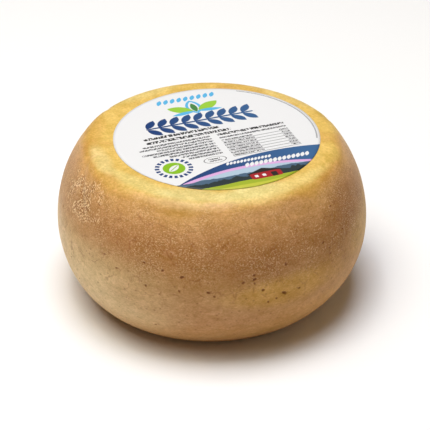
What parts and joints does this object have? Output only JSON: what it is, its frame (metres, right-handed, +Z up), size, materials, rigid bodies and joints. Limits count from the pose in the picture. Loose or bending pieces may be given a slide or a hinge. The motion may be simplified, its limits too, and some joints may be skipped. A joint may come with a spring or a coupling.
{
  "type": "caciotta cheese",
  "caption": "Whole round caciotta with bulging sides, soft corners, small pits in its rind and a round printed paper label on its flat top; it stands on its flat foot.",
  "frame": {"origin": "middle of the flat foot that the cheese stands on", "axes": "+Z up along the axis of the round cheese; the label reads along +X and its head is towards +Y"},
  "size_m": [0.1696, 0.1703, 0.0899],
  "materials": {
    "rind": "satin ochre to tan rind of a ripened cow's milk cheese, fine grained, with small darker pits",
    "label_paper": "smooth coated white paper with a blue band, a green seal and fields of colour printed on it"
  },
  "bodies": {
    "root": {"cheese": "rind", "label": "label_paper"}
  },
  "joints": []
}
